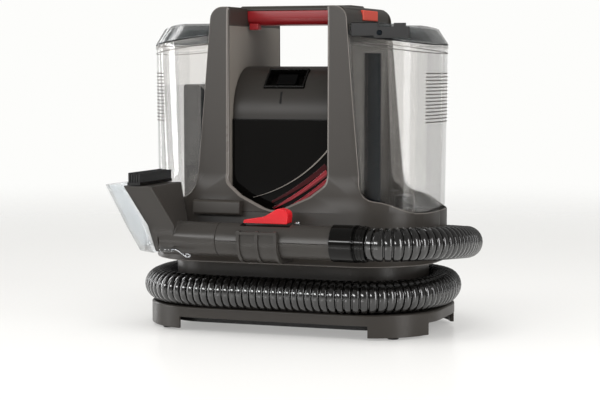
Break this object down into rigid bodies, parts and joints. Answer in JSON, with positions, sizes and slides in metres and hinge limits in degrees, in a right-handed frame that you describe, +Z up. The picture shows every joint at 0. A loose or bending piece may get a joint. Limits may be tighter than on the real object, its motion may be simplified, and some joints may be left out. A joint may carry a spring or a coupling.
{
  "type": "portable carpet cleaner",
  "caption": "Portable spot-cleaning machine with removable clean and dirty water tanks, carry handle, wound suction hose and a hand tool hung on the front.",
  "frame": {"origin": "middle of the outline without the hose, on the floor under the feet", "axes": "+Z up; X along the machine with the clean water tank at +X; the hand tool hangs on the front at -Y"},
  "size_m": [0.3816, 0.3032, 0.352],
  "materials": {
    "grey_abs": "fine moulded texture, warm dark grey",
    "inner_grey_abs": "fine moulded texture, mid grey",
    "gloss_black": "mirror-smooth black",
    "black_plastic": "satin black",
    "red_grip": "satin deep red",
    "bright_red": "bright red",
    "orange_red": "orange red",
    "silver_trim": "silver film",
    "smoked_clear": "smoked transparent",
    "clear_plastic": "clear transparent",
    "slate_plastic": "slate blue-grey",
    "rubber": "matte black",
    "bristle": "nylon bristle, black",
    "hose_black": "ribbed black hose",
    "motor_steel": "plain steel"
  },
  "bodies": {
    "machine": {"base_tray": "grey_abs", "bottom_cover": "black_plastic", "foot_front_left": "rubber", "foot_front_right": "rubber", "foot_rear_left": "rubber", "foot_rear_right": "rubber", "base_screw_front_left": "motor_steel", "base_screw_front_right": "motor_steel", "base_screw_rear_left": "motor_steel", "base_screw_rear_right": "motor_steel", "hose_drum": "grey_abs", "hose_port": "grey_abs", "front_shell": "grey_abs", "rear_shell": "grey_abs", "housing_floor": "black_plastic", "tank_tray_left": "black_plastic", "tank_tray_right": "black_plastic", "arm_left": "inner_grey_abs", "arm_right": "inner_grey_abs", "carry_handle": "grey_abs", "handle_grip": "red_grip", "pod_cover": "grey_abs", "switch_pocket": "gloss_black", "pod_front_panel": "gloss_black", "silver_trim": "silver_trim", "red_trim": "bright_red", "exhaust_grille": "black_plastic", "suction_motor": "motor_steel", "fan_housing": "black_plastic", "fan_cover": "black_plastic", "water_pump": "black_plastic", "cord_gland": "rubber", "wand_hook": "grey_abs", "wand_rest": "grey_abs", "hose": "hose_black"},
    "fan": {"fan_impeller": "motor_steel"},
    "switch": {"power_switch": "black_plastic"},
    "button_left": {"release_button_left": "orange_red"},
    "button_right": {"release_button_right": "orange_red"},
    "clean_tank_set": {"clean_tank": "clear_plastic", "clean_tank_valve": "black_plastic", "pickup_tube": "slate_plastic"},
    "clean_lid": {"clean_tank_lid": "smoked_clear", "latch_pin": "motor_steel"},
    "latch": {"lid_latch": "black_plastic"},
    "dirty_tank_set": {"dirty_tank": "clear_plastic", "standpipe": "slate_plastic", "float_guide": "slate_plastic"},
    "dirty_lid": {"dirty_tank_lid": "smoked_clear"},
    "float_body": {"float": "slate_plastic"},
    "wand": {"wand_lower_shell": "grey_abs", "wand_upper_shell": "grey_abs", "wand_air_tube": "black_plastic", "wand_cuff": "gloss_black", "hose_collar": "gloss_black", "wand_screw": "motor_steel"},
    "trigger_body": {"trigger": "bright_red"},
    "nozzle": {"nozzle_body": "grey_abs", "nozzle_cover": "clear_plastic", "nozzle_brush": "bristle"}
  },
  "joints": [
    {"name": "fan_spin", "type": "hinge", "parent": "machine", "child": "fan", "pos_m": [0, 0.026, 0.217], "axis": [0, 0, 1], "continuous": true},
    {"name": "switch_rock", "type": "hinge", "parent": "machine", "child": "switch", "pos_m": [0, -0.02168, 0.27004], "axis": [1, 0, 0], "range_deg": [-8, 8]},
    {"name": "button_left_press", "type": "slide", "parent": "machine", "child": "button_left", "axis": [1, 0, 0], "range_m": [0, 0.003], "stiffness_N_per_m": 400, "springref_m": -0.002},
    {"name": "button_right_press", "type": "slide", "parent": "machine", "child": "button_right", "axis": [-1, 0, 0], "range_m": [0, 0.003], "stiffness_N_per_m": 400, "springref_m": -0.002},
    {"name": "clean_tank_lift", "type": "slide", "parent": "machine", "child": "clean_tank_set", "axis": [0, 0, 1], "range_m": [0, 0.21]},
    {"name": "clean_lid_lift", "type": "slide", "parent": "clean_tank_set", "child": "clean_lid", "axis": [0, 0, 1], "range_m": [0, 0.04]},
    {"name": "latch_turn", "type": "hinge", "parent": "clean_lid", "child": "latch", "pos_m": [0.114, -0.0541, 0.321], "axis": [0, -1, 0], "range_deg": [0, 50]},
    {"name": "dirty_tank_lift", "type": "slide", "parent": "machine", "child": "dirty_tank_set", "axis": [0, 0, 1], "range_m": [0, 0.21]},
    {"name": "dirty_lid_lift", "type": "slide", "parent": "dirty_tank_set", "child": "dirty_lid", "axis": [0, 0, 1], "range_m": [0, 0.04]},
    {"name": "float_rise", "type": "slide", "parent": "dirty_tank_set", "child": "float_body", "axis": [0, 0, 1], "range_m": [0, 0.1]},
    {"name": "wand_lift", "type": "slide", "parent": "machine", "child": "wand", "axis": [0, 0, 1], "range_m": [0, 0.1]},
    {"name": "trigger_press", "type": "hinge", "parent": "wand", "child": "trigger_body", "pos_m": [-0.014, -0.098, 0.1235], "axis": [0, 1, 0], "range_deg": [0, 7], "stiffness_Nm_per_rad": 0.8, "springref_deg": -2.86},
    {"name": "nozzle_pull", "type": "slide", "parent": "wand", "child": "nozzle", "axis": [-1, 0, 0], "range_m": [0, 0.04]}
  ]
}
